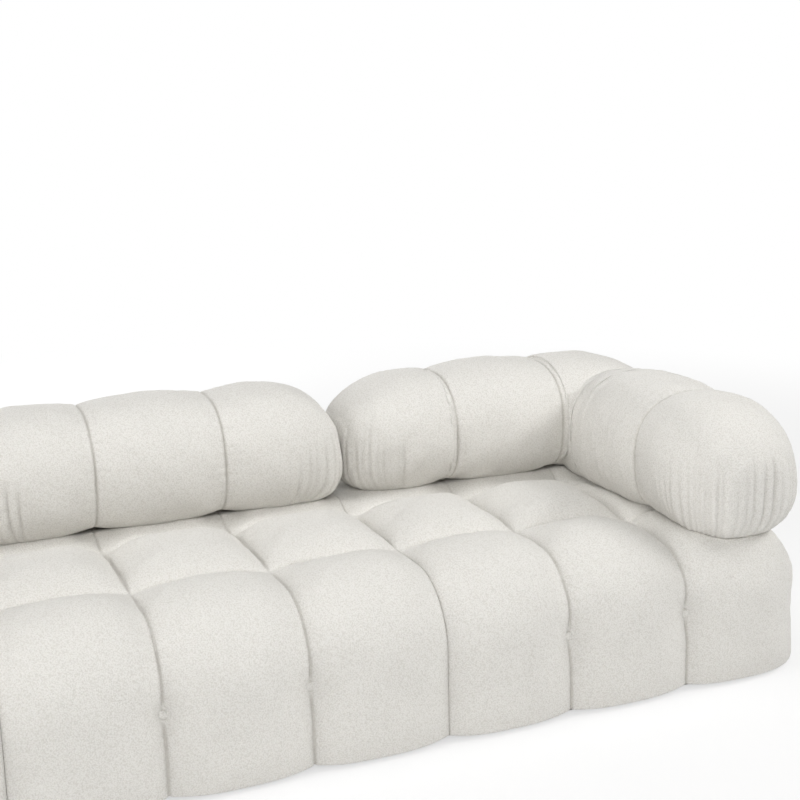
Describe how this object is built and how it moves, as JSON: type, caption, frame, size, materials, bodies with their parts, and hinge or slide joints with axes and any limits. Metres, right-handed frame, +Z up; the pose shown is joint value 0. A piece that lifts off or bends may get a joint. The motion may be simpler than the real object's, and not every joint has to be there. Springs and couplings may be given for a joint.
{
  "type": "modular corner sofa",
  "caption": "Modular three-section sofa with deep square tufted seats, rolled bolster back and arms, pale looped fabric, low on hidden glides.",
  "frame": {"origin": "middle of the footprint on the floor", "axes": "+X to the viewer's right along the row of modules, +Y to the back, +Z up"},
  "size_m": [2.8692, 0.9346, 0.6819],
  "materials": {
    "cover": "ivory looped pile fabric, matt",
    "foam": "open-cell polyurethane foam",
    "timber": "planed pine and birch plywood, unfinished",
    "webbing": "elastic woven webbing",
    "dust_cloth": "thin non-woven cloth",
    "plastic": "moulded black plastic",
    "steel": "zinc-plated sheet steel"
  },
  "bodies": {
    "root": {"left_corner_base_cushion": "cover", "left_corner_bolster": "cover", "left_corner_bolster_board": "timber", "left_corner_base_frame": "timber", "left_corner_webbing": "webbing", "left_corner_seat_slab": "foam", "left_corner_dust_cloth": "dust_cloth", "left_corner_glide_front_left": "plastic", "left_corner_glide_front_right": "plastic", "left_corner_glide_back_left": "plastic", "left_corner_glide_back_right": "plastic", "left_corner_front_button_1": "cover", "left_corner_back_button_1": "cover", "left_corner_front_button_2": "cover", "left_corner_back_button_2": "cover", "left_corner_side_button_1": "cover", "left_corner_side_button_2": "cover", "centre_base_cushion": "cover", "centre_bolster": "cover", "centre_bolster_board": "timber", "centre_base_frame": "timber", "centre_webbing": "webbing", "centre_seat_slab": "foam", "centre_dust_cloth": "dust_cloth", "centre_glide_front_left": "plastic", "centre_glide_front_right": "plastic", "centre_glide_back_left": "plastic", "centre_glide_back_right": "plastic", "centre_front_button_1": "cover", "centre_back_button_1": "cover", "centre_front_button_2": "cover", "centre_back_button_2": "cover", "right_corner_base_cushion": "cover", "right_corner_bolster": "cover", "right_corner_bolster_board": "timber", "right_corner_base_frame": "timber", "right_corner_webbing": "webbing", "right_corner_seat_slab": "foam", "right_corner_dust_cloth": "dust_cloth", "right_corner_glide_front_left": "plastic", "right_corner_glide_front_right": "plastic", "right_corner_glide_back_left": "plastic", "right_corner_glide_back_right": "plastic", "right_corner_front_button_1": "cover", "right_corner_back_button_1": "cover", "right_corner_front_button_2": "cover", "right_corner_back_button_2": "cover", "right_corner_side_button_1": "cover", "right_corner_side_button_2": "cover", "left_joint_socket_front": "steel", "left_joint_hook_front": "steel", "left_joint_socket_back": "steel", "left_joint_hook_back": "steel", "right_joint_socket_front": "steel", "right_joint_hook_front": "steel", "right_joint_socket_back": "steel", "right_joint_hook_back": "steel"}
  },
  "joints": []
}
